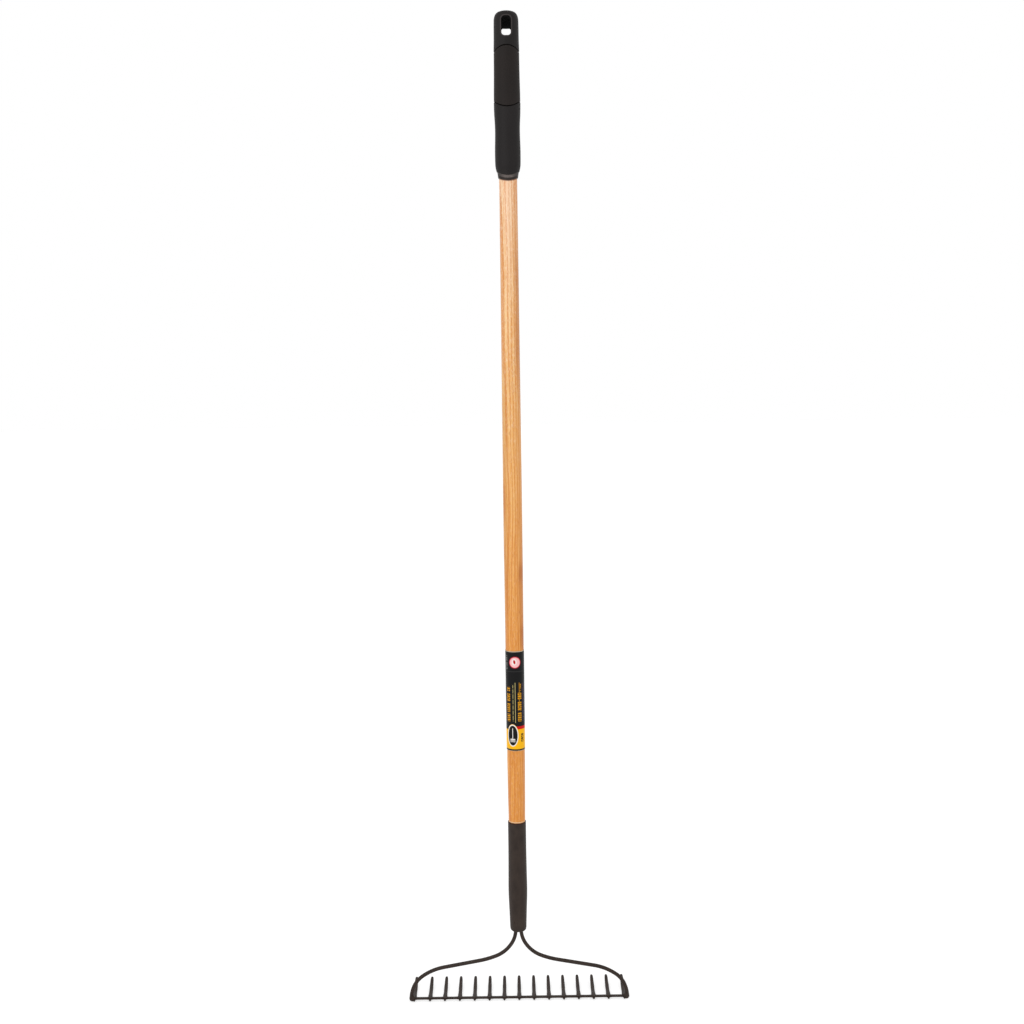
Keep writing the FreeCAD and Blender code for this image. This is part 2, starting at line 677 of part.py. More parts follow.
def arched_prism(label, margin):
    """A prism along Y between an arch above and its mirror below, grown by the margin."""
    prism = body_named(label)
    sketch = sketch_on(prism, "XZ_Plane", label + "_outline")
    grow = value[margin] if margin else 0.0
    grow_from = " + Sizes." + margin if margin else ""
    radius = value["band_arc_radius"] + grow
    span = value["band_half_span"]
    top_centre = value["band_top_level"] - value["band_arc_radius"]
    low_centre = value["band_bottom_level"] + value["band_arc_radius"]
    lean = math.asin(span / radius)
    upper = Part.Circle(FreeCAD.Vector(0, top_centre, 0), FreeCAD.Vector(0, 0, 1), radius)
    lower = Part.Circle(FreeCAD.Vector(0, low_centre, 0), FreeCAD.Vector(0, 0, 1), radius)
    arch = sketch.addGeometry(Part.ArcOfCircle(upper, math.pi / 2 - lean, math.pi / 2 + lean), False)
    bowl = sketch.addGeometry(Part.ArcOfCircle(lower, 1.5 * math.pi - lean, 1.5 * math.pi + lean), False)
    high = top_centre + radius * math.cos(lean)
    low = low_centre - radius * math.cos(lean)
    left = sketch.addGeometry(Part.LineSegment(FreeCAD.Vector(-span, high, 0), FreeCAD.Vector(-span, low, 0)), False)
    right = sketch.addGeometry(Part.LineSegment(FreeCAD.Vector(span, low, 0), FreeCAD.Vector(span, high, 0)), False)
    sketch.addConstraint(Sketcher.Constraint("Coincident", arch, 2, left, 1))
    sketch.addConstraint(Sketcher.Constraint("Coincident", left, 2, bowl, 1))
    sketch.addConstraint(Sketcher.Constraint("Coincident", bowl, 2, right, 1))
    sketch.addConstraint(Sketcher.Constraint("Coincident", right, 2, arch, 1))
    sketch.addConstraint(Sketcher.Constraint("PointOnObject", arch, 3, -2))
    sketch.addConstraint(Sketcher.Constraint("PointOnObject", bowl, 3, -2))
    for arc in (arch, bowl):
        radius_at = sketch.addConstraint(Sketcher.Constraint("Radius", arc, radius))
        sketch.setExpression("Constraints[%d]" % radius_at, "Sizes.band_arc_radius" + grow_from)
    bind(sketch, "DistanceY", (-1, 1), (arch, 3), top_centre, "Sizes.band_top_level - Sizes.band_arc_radius")
    bind(sketch, "DistanceY", (-1, 1), (bowl, 3), low_centre, "Sizes.band_bottom_level + Sizes.band_arc_radius")
    bind(sketch, "DistanceX", (-1, 1), (left, 1), -span, "-Sizes.band_half_span")
    bind(sketch, "DistanceX", (-1, 1), (right, 1), span, "Sizes.band_half_span")
    pad = prism.newObject("PartDesign::Pad", label + "_pad")
    pad.Profile = sketch
    pad.Midplane = True
    pad.setExpression("Length", "2 * Sizes.slot_reach")
    return placed(prism)


# The band is the sleeve's own contour between the arches, outside a round seat; its recess adds the grooves
seat = doc.addObject("Part::Cylinder", "band_seat")
seat.setExpression("Radius", "Sizes.band_seat_radius")
seat.setExpression("Height", "Sizes.band_top_level - Sizes.band_bottom_level + 2 * Sizes.band_half_span")
seat.setExpression("Placement.Base.z", "Sizes.band_bottom_level - Sizes.band_half_span - Sizes.hang_height")
band_arch = arched_prism("band_arch", None)
recess_arch = arched_prism("recess_arch", "groove_gap")
recess = cut("band_recess", recess_arch, [seat])
band_solid = doc.addObject("Part::Common", "band_solid")
band_solid.Base = sleeve_blank
band_solid.Tool = band_arch
parts.append(cut("grip_band", band_solid, [seat]))
sleeve_plug = turned("sleeve_plug", core_corners)
sleeve_filled = cut("core_envelope", sleeve_plug, [core_slot])
hem_edge = hem_tool("hem_edge", "hem_apex_level")
parts.append(cut("grip_sleeve", sleeve_blank, [sleeve_filled, hanging_slot, mouth, recess, hem_edge]))

doc.recompute()
for thing in doc.Objects:
    if "Invalid" in thing.State or "Error" in thing.State:
        raise RuntimeError("%s did not recompute: %s" % (thing.Name, thing.State))
names = set()
for part in parts:
    if part.Shape.isNull() or not part.Shape.isValid() or len(part.Shape.Solids) != 1:
        raise RuntimeError("%s has no single valid solid" % part.Label)
    if part.Label in names:
        raise RuntimeError("two pieces are called " + part.Label)
    names.add(part.Label)

os.makedirs("parts", exist_ok=True)
for part in parts:
    part.Shape.exportStep("parts/%s.step" % part.Label)
print("%d pieces written" % len(parts))
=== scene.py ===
import math

import bmesh
import bpy
import numpy as np
from mathutils import Matrix, Vector


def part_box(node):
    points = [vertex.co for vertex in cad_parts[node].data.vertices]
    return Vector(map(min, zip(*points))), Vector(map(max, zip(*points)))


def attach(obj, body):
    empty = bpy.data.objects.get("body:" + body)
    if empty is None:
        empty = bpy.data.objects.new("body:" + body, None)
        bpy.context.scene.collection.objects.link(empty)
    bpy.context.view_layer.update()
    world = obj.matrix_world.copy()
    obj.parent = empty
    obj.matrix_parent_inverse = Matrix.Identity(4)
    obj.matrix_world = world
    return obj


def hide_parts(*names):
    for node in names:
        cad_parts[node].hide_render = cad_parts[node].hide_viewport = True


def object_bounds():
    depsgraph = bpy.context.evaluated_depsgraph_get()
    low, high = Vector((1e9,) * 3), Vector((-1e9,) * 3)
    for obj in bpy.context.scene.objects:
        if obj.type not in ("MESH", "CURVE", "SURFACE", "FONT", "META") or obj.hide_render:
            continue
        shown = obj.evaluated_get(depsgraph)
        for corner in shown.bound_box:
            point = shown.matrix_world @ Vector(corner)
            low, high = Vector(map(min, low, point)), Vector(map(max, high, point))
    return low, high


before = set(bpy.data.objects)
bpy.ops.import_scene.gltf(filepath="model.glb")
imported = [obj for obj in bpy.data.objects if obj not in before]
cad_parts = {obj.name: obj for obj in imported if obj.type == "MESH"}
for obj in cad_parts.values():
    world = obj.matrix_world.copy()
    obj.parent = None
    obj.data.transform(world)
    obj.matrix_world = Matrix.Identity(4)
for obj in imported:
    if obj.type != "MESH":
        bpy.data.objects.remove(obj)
cad_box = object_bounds()

# The origin is the middle of the hanging slot, with x to the right, y to the back and z up. Shaders
# work in metres and meshes are worked out in millimetres, unless a comment says otherwise.
MM = 0.001
TINES = ["tine_%02d" % i for i in range(1, 16)]
FERRULE_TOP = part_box("ferrule")[1][2]      # in metres
ARC = 28.0                                 # radius of the grip's grooves and hem, seen from the front
RING_APEX = -236.0                         # height of the lowest point of the liner's ring

# The hanging slot has rounded corners, and its ceiling slopes down to the back
SLOT_W = 7.4                               # half width
SLOT_H = 14.7                              # half height at the front
BACK_TOP = 2.9                             # height of the ceiling at the back
FRONT_MOUTH = (0.0, SLOT_H, 5.4)           # middle, half height and corner radius at the front
BACK_MOUTH = ((BACK_TOP - SLOT_H) / 2, (BACK_TOP + SLOT_H) / 2, 3.0)


# ---------------------------------------------------------------- camera
LENS, SENSOR = 47.2, 36                    # in mm
CAMERA_TILT = 6.5                          # how far the camera looks down, in degrees
CAMERA_ROLL = -0.79                        # in degrees
CAMERA_AIM = (-0.00115, 0, -0.7667)        # about halfway down the rake, in metres
CAMERA_AWAY = 2.2                          # from the camera to what it is aimed at, in metres


def set_camera():
    data = bpy.data.cameras.new("camera")
    cam = bpy.data.objects.new("camera", data)
    bpy.context.collection.objects.link(cam)
    bpy.context.scene.camera = cam
    data.lens = LENS
    data.sensor_width = SENSOR
    tilt = math.radians(CAMERA_TILT)
    roll = math.radians(CAMERA_ROLL)
    back = Vector((0, -math.cos(tilt), math.sin(tilt)))
    cam.location = Vector(CAMERA_AIM) + back * CAMERA_AWAY
    cam.rotation_mode = "QUATERNION"
    look = (-back).to_track_quat("-Z", "Y").to_matrix()
    cam.rotation_quaternion = (look @ Matrix.Rotation(roll, 3, "Z")).to_quaternion()


set_camera()


# ---------------------------------------------------------------- shader graph helper
class Graph:
    """A material's node tree, written as short calls. Sockets and plain numbers mix freely."""

    def __init__(self, name):
        self.mat = bpy.data.materials.new(name)
        self.mat.use_nodes = True
        self.tree = self.mat.node_tree
        self.bsdf = self.tree.nodes["Principled BSDF"]
        self.place = self.node("ShaderNodeTexCoord").outputs["Object"]

    def node(self, kind, **settings):
        made = self.tree.nodes.new(kind)
        for key, value in settings.items():
            setattr(made, key, value)
        return made

    def feed(self, socket, value):
        if isinstance(value, bpy.types.NodeSocket):
            self.tree.links.new(value, socket)
        elif isinstance(value, (tuple, list)) and len(value) == 3 and socket.type == "RGBA":
            socket.default_value = (*value, 1)
        else:
            socket.default_value = value

    def axes(self):
        made = self.node("ShaderNodeSeparateXYZ")
        self.feed(made.inputs[0], self.place)
        return made.outputs[0], made.outputs[1], made.outputs[2]

    def math(self, operation, a, b=0.0):
        made = self.node("ShaderNodeMath", operation=operation)
        for socket, value in zip(made.inputs, (a, b)):
            self.feed(socket, value)
        return made.outputs[0]

    def add(self, a, b):
        return self.math("ADD", a, b)

    def sub(self, a, b):
        return self.math("SUBTRACT", a, b)

    def mul(self, a, b):
        return self.math("MULTIPLY", a, b)

    def most(self, a, b):
        return self.math("MAXIMUM", a, b)

    def absolute(self, a):
        return self.math("ABSOLUTE", a)

    def length(self, a, b):
        return self.math("SQRT", self.add(self.mul(a, a), self.mul(b, b)))

    def waves(self, value, pitch):
        """A sine wave along the value, from -1 to 1."""
        return self.math("SINE", self.mul(value, 2 * math.pi / pitch))

    def beat(self, value, pitch):
        """Runs from 0 to 1 over each pitch of the value."""
        return self.math("FRACT", self.mul(value, 1 / pitch))

    def span(self, value, low, high, out_low=0.0, out_high=1.0, smooth=False):
        """Maps low..high to 0..1, or to out_low..out_high, and holds the ends."""
        made = self.node("ShaderNodeMapRange", clamp=True)
        made.interpolation_type = "SMOOTHSTEP" if smooth else "LINEAR"
        for socket, number in zip(made.inputs[:5], (value, low, high, out_low, out_high)):
            self.feed(socket, number)
        return made.outputs[0]

    def window(self, value, start, full, fall, end, smooth=True):
        """1 from full to fall, fading to 0 at start and end."""
        up = self.span(value, start, full, smooth=smooth)
        down = self.span(value, end, fall, smooth=smooth)
        return self.mul(up, down)

    def near(self, value, middle, edge, full):
        """1 within full of the middle, fading to 0 at the edge."""
        return self.span(self.absolute(self.sub(value, middle)), edge, full, smooth=True)

    def stretch(self, scale, shift):
        made = self.node("ShaderNodeMapping")
        self.feed(made.inputs["Vector"], self.place)
        made.inputs["Scale"].default_value = scale
        made.inputs["Location"].default_value = shift
        return made.outputs[0]

    def noise(self, scale, shift=(0, 0, 0), detail=3.0, rough=0.55):
        """Noise with so many features to the metre along each axis."""
        made = self.node("ShaderNodeTexNoise")
        self.feed(made.inputs["Vector"], self.stretch(scale, shift))
        made.inputs["Scale"].default_value = 1.0
        made.inputs["Detail"].default_value = detail
        made.inputs["Roughness"].default_value = rough
        return made.outputs[0]

    def pebbles(self, scale):
        """Distance from the middles of soft round cells."""
        made = self.node("ShaderNodeTexVoronoi", feature="SMOOTH_F1")
        self.feed(made.inputs["Vector"], self.stretch(scale, (0, 0, 0)))
        made.inputs["Scale"].default_value = 1.0
        return made.outputs["Distance"]

    def mix(self, factor, a, b):
        made = self.node("ShaderNodeMix", data_type="RGBA")
        self.feed(made.inputs[0], factor)
        self.feed(made.inputs[6], a)
        self.feed(made.inputs[7], b)
        return made.outputs[2]

    def tint(self, colour, mask, strength, to):
        """The colour, moved towards another by the mask times a strength."""
        return self.mix(self.mul(mask, strength), colour, to)

    def ramp(self, factor, stops):
        made = self.node("ShaderNodeValToRGB")
        self.feed(made.inputs[0], factor)
        band = made.color_ramp.elements
        while len(band) < len(stops):
            band.new(0.5)
        for element, (at, colour) in zip(band, stops):
            element.position = at
            element.color = (*colour, 1)
        return made.outputs[0]

    def bump(self, height, distance, strength, under=None):
        made = self.node("ShaderNodeBump")
        made.inputs["Distance"].default_value = distance
        made.inputs["Strength"].default_value = strength
        self.feed(made.inputs["Height"], height)
        if under is not None:
            self.feed(made.inputs["Normal"], under)
        return made.outputs[0]

    def finish(self, colour, rough, normal=None, **constants):
        self.feed(self.bsdf.inputs["Base Color"], colour)
        self.feed(self.bsdf.inputs["Roughness"], rough)
        if normal is not None:
            self.feed(self.bsdf.inputs["Normal"], normal)
        for key, value in constants.items():
            self.bsdf.inputs[key.replace("_", " ")].default_value = value
        return self.mat


def srgb(r, g, b):
    """Screen colour, 0 to 255, as the linear numbers that a shader takes."""
    out = []
    for v in (r, g, b):
        v = v / 255
        out.append(v / 12.92 if v <= 0.04045 else ((v + 0.055) / 1.055) ** 2.4)
    return tuple(out)


STUDIO_LIGHT = 1.28      # what falls on the front of the shaft, as a multiple of plain white
GLOSS = 0.028            # what a satin surface adds by reflecting the white studio


def seen(r, g, b):
    """Surface colour that looks like this screen colour in the studio's light."""
    return tuple(max(0.0005, (v - GLOSS) / STUDIO_LIGHT) for v in srgb(r, g, b))


def above_ring(g, x, z):
    """Height above the curved lower edge of the liner's ring, in mm."""
    reach = g.mul(x, 1000)
    rise = g.sub(ARC, g.math("SQRT", g.sub(ARC * ARC, g.mul(reach, reach))))
    return g.sub(g.sub(g.mul(z, 1000), RING_APEX), rise)


# ---------------------------------------------------------------- wood
# All in metres
TONE_LOW, TONE_HIGH = -1.32, -0.22    # the heights between which the wood's tone changes
LATE_PITCH = 0.0046                   # from one band of late wood to the next
LINE_PITCH = 0.0015                   # between the thin lines inside the bands


def ash_tone(g, z, fibre):
    """The wood's ground colour, between a darker and a lighter fibre, and paler towards the grip."""
    height = g.span(z, TONE_LOW, TONE_HIGH)
    dark = g.ramp(height, [
        (0.0, seen(216, 136, 54)),
        (0.30, seen(222, 142, 60)),
        (0.62, seen(234, 162, 84)),
        (0.86, seen(240, 180, 116)),
        (1.0, seen(242, 184, 138)),
    ])
    light = g.ramp(height, [
        (0.0, seen(250, 180, 96)),
        (0.30, seen(255, 190, 108)),
        (0.62, seen(255, 216, 148)),
        (0.86, seen(255, 222, 170)),
        (1.0, seen(255, 226, 190)),
    ])
    return g.mix(g.span(fibre, 0.36, 0.66), dark, light)


def ash_grain(g, drift_fine, fibre):
    """Bands of late wood, thin lines, pores, pale flecks and blotches. Returns colour and pores."""
    x, y, z = g.axes()
    drift = g.noise((6, 6, 1.6), detail=2)
    across = g.add(g.mul(x, 0.93), g.mul(y, 0.36))
    across = g.add(across, g.mul(g.sub(drift, 0.5), 0.020))
    across = g.add(across, g.mul(g.sub(drift_fine, 0.5), 0.0016))
    late = g.span(g.waves(across, LATE_PITCH), -0.1, 1.0, smooth=True)
    lines = g.waves(g.add(across, g.mul(drift_fine, 0.0009)), LINE_PITCH)
    pores = g.span(g.noise((1500, 1500, 95), (0, 0, 7), detail=2), 0.60, 0.70, smooth=True)
    pores = g.mul(pores, g.span(late, 0.0, 1.0, 1.0, 0.35))
    colour = g.tint(ash_tone(g, z, fibre), late, 0.62, seen(210, 126, 54))
    colour = g.tint(colour, g.span(lines, 0.1, 1.0), 0.32, seen(198, 114, 46))
    colour = g.tint(colour, pores, 0.62, seen(170, 90, 38))
    # short pale flecks, thickest high up
    fleck = g.noise((1100, 1100, 170), (5, 0, 2), detail=1)
    fleck = g.mul(g.span(fleck, 0.56, 0.66, smooth=True), g.span(z, -0.75, -0.30, 0.15, 0.75))
    colour = g.mix(fleck, colour, seen(255, 226, 196))
    blotch = g.noise((18, 18, 5), (9, 4, 2))
    return g.tint(colour, g.span(blotch, 0.52, 0.78), 0.28, seen(222, 142, 76)), pores


def ash_marks(g, colour, drift_fine):
    """What this one piece of wood has and where, on top of its even grain, and painted light and shade.
    """
    x, y, z = g.axes()
    sway = g.sub(drift_fine, 0.5)
    # a pale line painted on the turned edge above the ferrule: a painted highlight
    over = g.sub(z, FERRULE_TOP)
    rim = g.window(over, 0.0001, 0.0007, 0.0017, 0.0025)
    colour = g.tint(colour, rim, 0.55, seen(250, 226, 190))
    # brown heartwood down the shaft's right side: a long flash high up, a fainter one lower down
    # and two short dark marks inside that
    flash = g.span(g.add(x, g.mul(sway, 0.012)), 0.0068, 0.0125, smooth=True)
    high = g.window(z, -0.62, -0.50, -0.40, -0.30)
    low = g.window(z, -1.02, -0.96, -0.88, -0.78)
    marks = g.mul(g.near(z, -0.8665, 0.022, 0.004), 0.42)
    marks = g.add(marks, g.mul(g.near(z, -0.9745, 0.032, 0.008), 0.50))
    flash = g.mul(flash, g.add(g.add(g.mul(high, 0.48), g.mul(low, 0.30)), marks))
    colour = g.mix(flash, colour, seen(168, 92, 38))
    # painted shade down the sides: warmer and darker on the right, a duller streak down the left
    wavy = g.add(x, g.mul(sway, 0.004))
    colour = g.tint(colour, g.span(wavy, 0.0035, 0.0120), 0.30, seen(216, 134, 56))
    left_shade = g.mul(g.window(z, -1.02, -0.86, -0.60, -0.50), g.span(wavy, -0.0050, -0.0110))
    colour = g.tint(colour, left_shade, 0.36, seen(192, 124, 62))
    # painted highlight: the middle of the front and back is paler near the grip
    face = g.mul(g.span(g.absolute(x), 0.0070, 0.0015), g.span(z, -0.46, -0.30, smooth=True))
    colour = g.tint(colour, face, 0.32, seen(255, 228, 200))
    # painted shadow in the line where the grip's ring sits on the wood
    ring_shadow = g.span(above_ring(g, x, z), -2.2, -0.5, smooth=True)
    return g.tint(colour, ring_shadow, 0.85, seen(84, 42, 18))


def ash_wood():
    """Lacquered ash: slow bands of early and late wood, drawn-out pores, a warmer tone lower down."""
    g = Graph("ash_lacquered")
    drift_fine = g.noise((70, 70, 9), (3, 1, 0))
    fibre = g.noise((900, 900, 14), detail=4, rough=0.6)
    colour, pores = ash_grain(g, drift_fine, fibre)
    colour = ash_marks(g, colour, drift_fine)
    rough = g.add(g.add(0.36, g.mul(pores, 0.16)), g.mul(fibre, 0.08))
    bump = g.bump(g.sub(g.mul(fibre, 0.5), pores), 0.00010, 0.5)
    return g.finish(colour, rough, bump, Coat_Weight=0.12, Coat_Roughness=0.30, Specular_IOR_Level=0.35)


# ---------------------------------------------------------------- steel, rubber, plastic and floor
def dark_steel(name, relief=1.0):
    """Brown-black oven paint over forged steel: mottled, a little orange-peel, rubbed paler in spots."""
    g = Graph(name)
    cloud = g.noise((90, 90, 55), detail=5, rough=0.6)
    speck = g.noise((1400, 1400, 1400), detail=2)
    peel = g.noise((520, 520, 520), (2, 5, 1))
    dents = g.noise((130, 130, 130), (4, 0, 3), detail=2)
    colour = g.mix(g.span(cloud, 0.32, 0.72), (0.0170, 0.0100, 0.0070), (0.0310, 0.0203, 0.0150))
    rubbed = g.mul(g.span(speck, 0.60, 0.74), g.span(cloud, 0.45, 0.70))
    colour = g.tint(colour, rubbed, 0.45, (0.062, 0.046, 0.034))
    # painted shade on the ferrule's rolled top edge, darker and redder
    x, y, z = g.axes()
    top_edge_shade = g.span(g.sub(z, FERRULE_TOP), -0.0031, -0.0011, smooth=True)
    colour = g.tint(colour, top_edge_shade, 0.88, (0.024, 0.0058, 0.0025))
    rough = g.add(g.span(cloud, 0.25, 0.75, 0.42, 0.56), g.mul(speck, 0.08))
    under = g.bump(dents, 0.0006 * relief, 0.35)
    normal = g.bump(peel, 0.00018 * relief, 0.55, under)
    return g.finish(colour, rough, normal, Specular_IOR_Level=0.20)


def from_mouth(g, x, z, middle, half, corner):
    """How far a point lies outside the slot's mouth, seen from the front, in mm."""
    side_x = g.most(g.sub(g.absolute(x), (SLOT_W - corner) * MM), 0.0)
    side_z = g.most(g.sub(g.absolute(g.sub(z, middle * MM)), (half - corner) * MM), 0.0)
    return g.mul(g.sub(g.length(side_x, side_z), corner * MM), 1000)


def rubber(name, dark, pale, grain, depth, rough):
    """Moulded soft grip: fine spark-eroded grain, dust-pale in the hollows, a little handled sheen."""
    g = Graph(name)
    pebble = g.pebbles((grain,) * 3)
    skin = g.noise((grain * 1.7,) * 3)
    hand = g.noise((34, 34, 14), (5, 2, 8))
    colour = g.mix(g.span(hand, 0.35, 0.70), dark, pale)
    colour = g.tint(colour, g.span(pebble, 0.15, 0.75), 0.35, tuple(1.7 * v for v in pale))
    # the slot has a painted highlight on the rim round its outside, and painted shade inside
    x, y, z = g.axes()
    front = from_mouth(g, x, z, *FRONT_MOUTH)
    rear = from_mouth(g, x, z, *BACK_MOUTH)
    at_back = g.span(y, -0.002, 0.002)
    away = g.add(g.mul(front, g.sub(1.0, at_back)), g.mul(rear, at_back))
    rim = g.window(away, 0.2, 0.9, 1.6, 2.5, smooth=False)
    colour = g.tint(colour, rim, 0.75, tuple(4.6 * v for v in pale))
    # painted shade: the tunnel's inside is painted near black and made a little rougher
    tunnel_shade = g.mul(g.span(g.length(x, y), 0.0188, 0.0176), g.span(front, 0.6, 0.2))
    colour = g.mix(tunnel_shade, colour, (0.0008, 0.0006, 0.0006))
    sheen = g.add(g.span(hand, 0.3, 0.7, *rough), g.mul(skin, 0.06))
    height = g.add(g.mul(pebble, -0.8), g.mul(skin, 0.5))
    return g.finish(colour, g.add(sheen, g.mul(tunnel_shade, 0.3)), g.bump(height, depth, 0.6),
                    Specular_IOR_Level=0.16)


def grey_plastic():
    """The liner: mottled grey-brown, with painted shade at the sides and along the ring's toe."""
    g = Graph("liner_grey")
    mottle = g.noise((260, 260, 260), detail=4)
    fine = g.noise((2200, 2200, 2200), detail=2)
    colour = g.mix(g.span(mottle, 0.3, 0.7), (0.072, 0.058, 0.052), (0.108, 0.088, 0.080))
    x, y, z = g.axes()
    # painted shade: darker towards the sides of the liner
    side = g.span(g.absolute(x), 0.0050, 0.0135)
    colour = g.tint(colour, side, 0.80, (0.016, 0.014, 0.014))
    # painted shade along the ring's toe, where it turns under
    toe = g.span(above_ring(g, x, z), 4.2, 3.0, smooth=True)
    colour = g.tint(colour, toe, 0.95, (0.0075, 0.0036, 0.0018))
    return g.finish(colour, g.span(mottle, 0.3, 0.7, 0.46, 0.60), g.bump(fine, 0.00008, 0.5),
                    Specular_IOR_Level=0.25)


def floor_paper():
    """Studio paper that mostly glows by itself, so that it stays white and takes hardly any shadow."""
    g = Graph("studio_paper")
    tooth = g.noise((60, 60, 60), detail=2)
    colour = g.mix(g.span(tooth, 0.3, 0.7), (0.40, 0.40, 0.40), (0.415, 0.415, 0.415))
    return g.finish(colour, 0.9, Specular_IOR_Level=0.1, Emission_Color=(1, 1, 1, 1),
                    Emission_Strength=0.64)


# ---------------------------------------------------------------- the label's print
LABEL_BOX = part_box("label")
LABEL_BOTTOM = LABEL_BOX[0][2]
LABEL_RADIUS = 15.6
PAST_BACK = 60           # further round than the middle of the back
INK = (0.0016, 0.0016, 0.0018)
GOLD = seen(226, 160, 24)
CREAM = seen(206, 192, 130)
YELLOW = seen(255, 192, 0)
RED = seen(214, 24, 16)
WHITE = seen(246, 242, 236)
GREY = seen(112, 112, 110)
PLUM = seen(84, 70, 104)


class Print(Graph):
    """Film print in millimetres: u runs round the shaft from the front's middle, v up from the lower
    edge. Lettering is stood in for by plain blocks and bars, and marks by plain generic signs."""

    def __init__(self, name):
        super().__init__(name)
        x, y, z = self.axes()
        self.u = self.mul(self.math("ARCTAN2", x, self.mul(y, -1.0)), LABEL_RADIUS)
        self.v = self.mul(self.sub(z, LABEL_BOTTOM), 1000)
        self.soft = 0.10     # half the width over which a printed edge fades
        self.colour = INK

    def inside(self, value, low, high):
        soft = self.soft
        return self.window(value, low - soft, low + soft, high - soft, high + soft, smooth=False)

    def stripe(self, v0, v1):
        """A band all the way round the shaft."""
        return self.inside(self.v, v0, v1)

    def block(self, u0, u1, v0, v1):
        return self.mul(self.inside(self.u, u0, u1), self.inside(self.v, v0, v1))

    def disc(self, cu, cv, ru, rv):
        du = self.mul(self.sub(self.u, cu), 1 / ru)
        dv = self.mul(self.sub(self.v, cv), 1 / rv)
        return self.span(self.length(du, dv), 1 + self.soft / ru, 1 - self.soft / ru)

    def words(self, u0, u1, v0, v1, letter, start, filled=0.62):
        """A line of blocks that reads up the shaft, with a letter's pitch and uneven gaps."""
        keep = self.span(self.beat(self.add(self.v, start), letter), filled + 0.03, filled - 0.03)
        word = self.beat(self.add(self.v, start * 3.7), letter * 5.3)
        keep = self.mul(keep, self.span(word, 0.84, 0.80))
        # a nick in every other block keeps them from reading as a ladder
        every_other = self.span(self.beat(self.add(self.v, start), 2 * letter), 0.48, 0.52)
        nick = self.inside(self.u, u0 + 0.40 * (u1 - u0), u0 + 0.62 * (u1 - u0))
        keep = self.mul(keep, self.sub(1.0, self.mul(nick, every_other)))
        return self.mul(self.block(u0, u1, v0, v1), keep)

    def paint(self, mask, to):
        self.colour = self.mix(mask, self.colour, to)


def lower_panel(p):
    """Yellow field with stand-in lettering on the right, and a red band above it but for the left."""
    top = 36.8
    p.paint(p.stripe(1.2, top), YELLOW)
    p.paint(p.stripe(top, 41.8), RED)
    p.paint(p.block(-PAST_BACK, -5.0, 36.0, 43.0), INK)
    p.paint(p.words(9.6, 14.8, 12, 31, 3.4, 0.9, 0.80), seen(50, 36, 10))


def rake_sign(p):
    """An upright oval with a white rim and a small white rake."""
    u, v = -5.2, 26.2
    p.paint(p.disc(u, v, 10.3, 19.2), YELLOW)
    p.paint(p.disc(u, v, 9.8, 18.6), WHITE)
    p.paint(p.disc(u, v, 8.4, 16.9), INK)
    p.paint(p.block(u - 0.55, u + 0.55, 16.5, 38.5), WHITE)
    half, teeth, tooth, pitch = 4.1, 5, 0.9, 1.82
    p.paint(p.block(u - half, u + half, 19.2, 20.7), WHITE)
    for k in range(teeth):
        start = u - half + pitch * k
        p.paint(p.block(start, start + tooth, 15.0, 20.2), WHITE)


def upper_panel(p):
    """Lines of stand-in lettering that read up the shaft, with two hairlines between them."""
    p.paint(p.block(-0.45, 0.35, 48, 116), CREAM)
    p.paint(p.words(-4.6, -3.2, 50, 112, 1.7, 0.4), CREAM)
    p.paint(p.words(-15.5, -9.2, 50, 108, 3.3, 1.1, 0.66), GOLD)
    p.paint(p.block(6.6, 7.3, 78, 116), GOLD)
    p.paint(p.words(4.4, 10.8, 50, 99, 3.6, 2.2, 0.68), GOLD)
    p.paint(p.words(8.0, 10.4, 102, 115, 2.0, 0.2, 0.6), GOLD)
    p.paint(p.words(13.4, 15.8, 50, 114, 1.5, 0.7), PLUM)
    p.paint(p.words(17.6, 19.6, 56, 110, 1.3, 1.7), GREY)
    p.paint(p.stripe(134.2, 134.9), (0.03, 0.03, 0.03))


def roundel(p):
    """A round badge with a plain leaf, and a line of stand-in lettering beside it."""
    v = 149.8
    p.paint(p.disc(0, v, 10.6, 10.6), seen(96, 8, 20))
    p.paint(p.disc(0, v, 9.5, 9.5), seen(226, 84, 98))
    p.paint(p.disc(0, v, 8.4, 8.4), seen(252, 196, 196))
    p.paint(p.disc(-1.0, v + 0.8, 4.2, 5.6), seen(250, 236, 232))
    # the leaf is what two ovals share
    leaf = p.mul(p.disc(-1.9, v, 3.0, 4.4), p.disc(0.7, v + 1.4, 3.4, 4.4))
    p.paint(leaf, seen(196, 20, 36))
    p.paint(p.words(-17.4, -14.4, 137, 161, 1.6, 0.3), seen(150, 150, 146))


def back_panel(p):
    """A bar code panel, and six rows of small print that read round the shaft."""
    round_u = p.absolute(p.u)
    bars = p.mul(p.span(p.math("FRACT", p.mul(p.v, 0.61)), 0.50, 0.54),
                 p.span(p.math("FRACT", p.mul(p.v, 0.23)), 0.12, 0.16))
    panel = p.mul(p.inside(round_u, 32.0, 54.0), p.inside(p.v, 60, 92))
    p.paint(panel, p.mix(bars, WHITE, INK))
    for row in range(6):
        low = 100 + row * 4.2
        letters = p.span(p.beat(p.add(p.u, 1.3 * row), 1.5), 0.66, 0.62)
        line = p.mul(letters, p.inside(p.v, low, low + 1.7))
        p.paint(p.mul(line, p.inside(round_u, 31.0, 54.0)), GREY)


def film_edges(p):
    """A painted shadow line with a pale one under it at the lower edge, and a painted highlight line at
    the upper one.
    """
    # painted shadow along the film's lower edge
    p.paint(p.stripe(0.5, 3.1), seen(48, 26, 12))
    p.paint(p.stripe(-1.0, 0.5), seen(228, 214, 190))
    # painted highlight along the film's upper edge
    p.paint(p.stripe(167.3, 170.0), seen(206, 190, 166))


